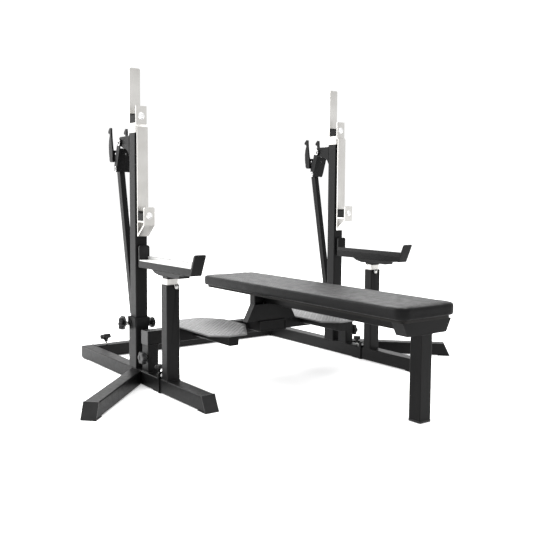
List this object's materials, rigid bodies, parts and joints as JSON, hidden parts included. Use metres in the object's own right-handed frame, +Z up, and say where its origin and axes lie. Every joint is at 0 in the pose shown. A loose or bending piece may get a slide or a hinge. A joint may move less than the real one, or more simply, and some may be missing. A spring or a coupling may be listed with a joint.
{
  "type": "olympic bench press",
  "caption": "Competition bench press rack with height-adjustable uprights, lift levers, safety arms, spotter plates and a flat bench.",
  "frame": {"origin": "floor level, middle of the whole footprint", "axes": "+Z up, +X across the rack to the lifter's left when lying down, +Y towards the head end of the bench"},
  "size_m": [2.048, 1.76, 1.376],
  "materials": {
    "powder_coat": "fine satin black powder coat",
    "stainless": "brushed along its length",
    "black_plastic": "moulded",
    "liner_plastic": "dense wear plastic",
    "rubber_pads": "moulded",
    "bolt_steel": "bright plated",
    "chequer_plate": "five-bar chequer, mill finish",
    "pad_cover": "grained vinyl",
    "board": "plywood painted black",
    "wear_plastic": "smooth",
    "zinc": "zinc plated"
  },
  "bodies": {
    "base": {"rear_crossmember": "powder_coat", "tube_end_caps": "black_plastic", "rear_foot_pads": "rubber_pads", "joint_flanges": "powder_coat", "crossbeam": "powder_coat", "short_posts": "powder_coat", "bench_saddle": "powder_coat", "tread_arms": "powder_coat", "collars": "powder_coat", "outriggers": "powder_coat", "left_base_beam": "powder_coat", "left_front_foot": "powder_coat", "left_sleeve": "powder_coat", "left_front_post": "powder_coat", "left_tread_plate": "chequer_plate", "right_base_beam": "powder_coat", "right_front_foot": "powder_coat", "right_sleeve": "powder_coat", "right_front_post": "powder_coat", "right_tread_plate": "chequer_plate"},
    "left_upright": {"left_upright": "powder_coat", "left_cup_back_plate": "stainless", "left_front_plate": "stainless", "left_cup_liners": "liner_plastic", "left_upright_bolts": "bolt_steel"},
    "left_lever": {"left_lever_bar": "powder_coat", "left_hook_yoke": "powder_coat", "left_lever_bolts": "bolt_steel"},
    "left_safety_arm": {"left_safety_post": "stainless", "left_safety_arm": "powder_coat", "left_wear_strip": "wear_plastic"},
    "left_arm_pin": {"left_arm_pin": "zinc"},
    "left_clamp_knob": {"left_clamp_knob": "black_plastic"},
    "left_index_pin": {"left_index_pin": "black_plastic"},
    "left_post_knob": {"left_post_knob": "black_plastic"},
    "left_base_knob": {"left_base_knob": "black_plastic"},
    "left_front_lock_knob": {"left_front_lock_knob": "black_plastic"},
    "right_upright": {"right_upright": "powder_coat", "right_cup_back_plate": "stainless", "right_front_plate": "stainless", "right_cup_liners": "liner_plastic", "right_upright_bolts": "bolt_steel"},
    "right_lever": {"right_lever_bar": "powder_coat", "right_hook_yoke": "powder_coat", "right_lever_bolts": "bolt_steel"},
    "right_safety_arm": {"right_safety_post": "stainless", "right_safety_arm": "powder_coat", "right_wear_strip": "wear_plastic"},
    "right_arm_pin": {"right_arm_pin": "zinc"},
    "right_clamp_knob": {"right_clamp_knob": "black_plastic"},
    "right_index_pin": {"right_index_pin": "black_plastic"},
    "right_post_knob": {"right_post_knob": "black_plastic"},
    "right_base_knob": {"right_base_knob": "black_plastic"},
    "right_front_lock_knob": {"right_front_lock_knob": "black_plastic"},
    "bench": {"pad": "pad_cover", "pad_board": "board", "spine": "powder_coat", "rear_bracket": "powder_coat", "front_leg": "powder_coat", "leg_foot": "black_plastic"}
  },
  "joints": [
    {"name": "left_upright_slide", "type": "slide", "parent": "base", "child": "left_upright", "axis": [0, 0, 1], "range_m": [0, 0.14]},
    {"name": "left_lever_hinge", "type": "hinge", "parent": "left_upright", "child": "left_lever", "pos_m": [-0.575, 0.41, 1.06], "axis": [1, 0, 0], "range_deg": [0, 100]},
    {"name": "left_safety_arm_slide", "type": "slide", "parent": "base", "child": "left_safety_arm", "axis": [0, 0, 1], "range_m": [0, 0.035]},
    {"name": "left_arm_pin_pull", "type": "slide", "parent": "base", "child": "left_arm_pin", "axis": [0, -1, 0], "range_m": [0, 0.04]},
    {"name": "left_clamp_knob_turn", "type": "hinge", "parent": "base", "child": "left_clamp_knob", "pos_m": [-0.61135, 0.33235, 0.257], "axis": [-0.7071, 0.7071, 0], "continuous": true},
    {"name": "left_index_pin_pull", "type": "slide", "parent": "base", "child": "left_index_pin", "axis": [1, 0, 0], "range_m": [0, 0.012], "stiffness_N_per_m": 900},
    {"name": "left_post_knob_turn", "type": "hinge", "parent": "base", "child": "left_post_knob", "pos_m": [-0.597, 0.183, 0.127], "axis": [-1, 0, 0], "continuous": true},
    {"name": "left_base_knob_turn", "type": "hinge", "parent": "base", "child": "left_base_knob", "pos_m": [-0.486, 0.838, 0.063], "axis": [0, 0.3304, 0.9439], "continuous": true},
    {"name": "left_front_lock_knob_turn", "type": "hinge", "parent": "base", "child": "left_front_lock_knob", "pos_m": [-0.575, 0.11, 0.064], "axis": [0, 0, 1], "continuous": true},
    {"name": "right_upright_slide", "type": "slide", "parent": "base", "child": "right_upright", "axis": [0, 0, 1], "range_m": [0, 0.14]},
    {"name": "right_lever_hinge", "type": "hinge", "parent": "right_upright", "child": "right_lever", "pos_m": [0.575, 0.41, 1.06], "axis": [1, 0, 0], "range_deg": [0, 100]},
    {"name": "right_safety_arm_slide", "type": "slide", "parent": "base", "child": "right_safety_arm", "axis": [0, 0, 1], "range_m": [0, 0.035]},
    {"name": "right_arm_pin_pull", "type": "slide", "parent": "base", "child": "right_arm_pin", "axis": [0, -1, 0], "range_m": [0, 0.04]},
    {"name": "right_clamp_knob_turn", "type": "hinge", "parent": "base", "child": "right_clamp_knob", "pos_m": [0.61135, 0.33235, 0.257], "axis": [0.7071, 0.7071, 0], "continuous": true},
    {"name": "right_index_pin_pull", "type": "slide", "parent": "base", "child": "right_index_pin", "axis": [-1, 0, 0], "range_m": [0, 0.012], "stiffness_N_per_m": 900},
    {"name": "right_post_knob_turn", "type": "hinge", "parent": "base", "child": "right_post_knob", "pos_m": [0.597, 0.183, 0.127], "axis": [1, 0, 0], "continuous": true},
    {"name": "right_base_knob_turn", "type": "hinge", "parent": "base", "child": "right_base_knob", "pos_m": [0.486, 0.838, 0.063], "axis": [0, 0.3304, 0.9439], "continuous": true},
    {"name": "right_front_lock_knob_turn", "type": "hinge", "parent": "base", "child": "right_front_lock_knob", "pos_m": [0.575, 0.11, 0.064], "axis": [0, 0, 1], "continuous": true},
    {"name": "bench_lift", "type": "slide", "parent": "base", "child": "bench", "axis": [0, 0, 1], "range_m": [0, 0.15]}
  ]
}
